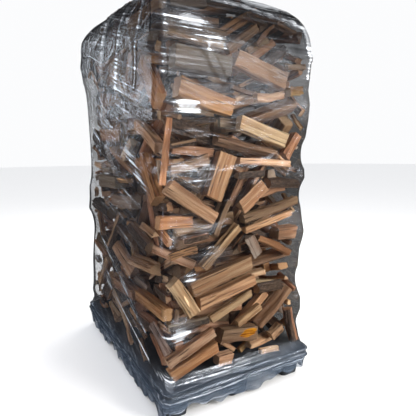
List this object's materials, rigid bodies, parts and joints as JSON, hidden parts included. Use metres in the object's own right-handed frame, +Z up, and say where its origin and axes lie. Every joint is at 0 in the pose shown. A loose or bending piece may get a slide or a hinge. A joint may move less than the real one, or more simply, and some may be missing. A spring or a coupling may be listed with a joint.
{
  "type": "pallet load of split firewood in stretch film",
  "caption": "Split firewood tipped loose on a plastic pallet, domed on top, under a cover sheet and wound in clear stretch film down to the pallet rim.",
  "frame": {"origin": "on the floor under the middle of the pallet, bottom centre of the bounding box", "axes": "+Z up; the long side of the pallet runs along Y, the short front side faces -Y"},
  "size_m": [0.8, 1.2, 1.9086],
  "materials": {
    "pale_wood": "fresh split sapwood, pale and fibrous",
    "tan_wood": "split heartwood, tan, long straight grain",
    "orange_wood": "resin-rich split heartwood, orange brown",
    "red_wood": "reddish split wood with inner bark left on",
    "brown_wood": "brown split wood with rough bark on the round side",
    "grey_wood": "weathered split wood, greyed",
    "heap_wood": "split logs of mixed tones, some with bark",
    "black_plastic": "recycled black plastic, dull and scuffed",
    "cover_film": "clear film, creased and slightly milky",
    "stretch_film": "clear stretched film, glossy with fine level stretch lines"
  },
  "bodies": {
    "root": {"brown_billet_34": "brown_wood", "brown_ridge_13": "brown_wood", "brown_ridge_21": "brown_wood", "brown_ridge_23": "brown_wood", "brown_ridge_37": "brown_wood", "brown_round_24": "brown_wood", "brown_round_50": "brown_wood", "brown_round_53": "brown_wood", "brown_slab_14": "brown_wood", "brown_slat_31": "brown_wood", "cover_sheet": "cover_film", "grey_quarter_27": "grey_wood", "grey_quarter_47": "grey_wood", "grey_slab_02": "grey_wood", "grey_slab_54": "grey_wood", "grey_slab_55": "grey_wood", "grey_wedge_36": "grey_wood", "log_heap": "heap_wood", "orange_billet_22": "orange_wood", "orange_round_39": "orange_wood", "orange_slab_04": "orange_wood", "orange_slab_12": "orange_wood", "orange_slab_33": "orange_wood", "orange_slab_44": "orange_wood", "orange_slab_45": "orange_wood", "orange_slab_51": "orange_wood", "orange_stick_15": "orange_wood", "orange_stick_35": "orange_wood", "pale_slab_01": "pale_wood", "pale_slab_05": "pale_wood", "pale_slab_16": "pale_wood", "pale_slat_11": "pale_wood", "pale_slat_20": "pale_wood", "pale_slat_26": "pale_wood", "pallet": "black_plastic", "red_round_18": "red_wood", "red_round_28": "red_wood", "red_slab_25": "red_wood", "red_slab_56": "red_wood", "stretch_wrap": "stretch_film", "tan_billet_19": "tan_wood", "tan_billet_42": "tan_wood", "tan_billet_43": "tan_wood", "tan_quarter_30": "tan_wood", "tan_quarter_32": "tan_wood", "tan_quarter_38": "tan_wood", "tan_ridge_52": "tan_wood", "tan_slab_03": "tan_wood", "tan_slab_06": "tan_wood", "tan_slab_07": "tan_wood", "tan_slab_09": "tan_wood", "tan_slab_10": "tan_wood", "tan_slab_48": "tan_wood", "tan_slab_49": "tan_wood", "tan_slat_40": "tan_wood", "tan_slat_46": "tan_wood", "tan_stick_08": "tan_wood", "tan_stick_17": "tan_wood", "tan_stick_41": "tan_wood", "tan_wedge_29": "tan_wood"}
  },
  "joints": []
}
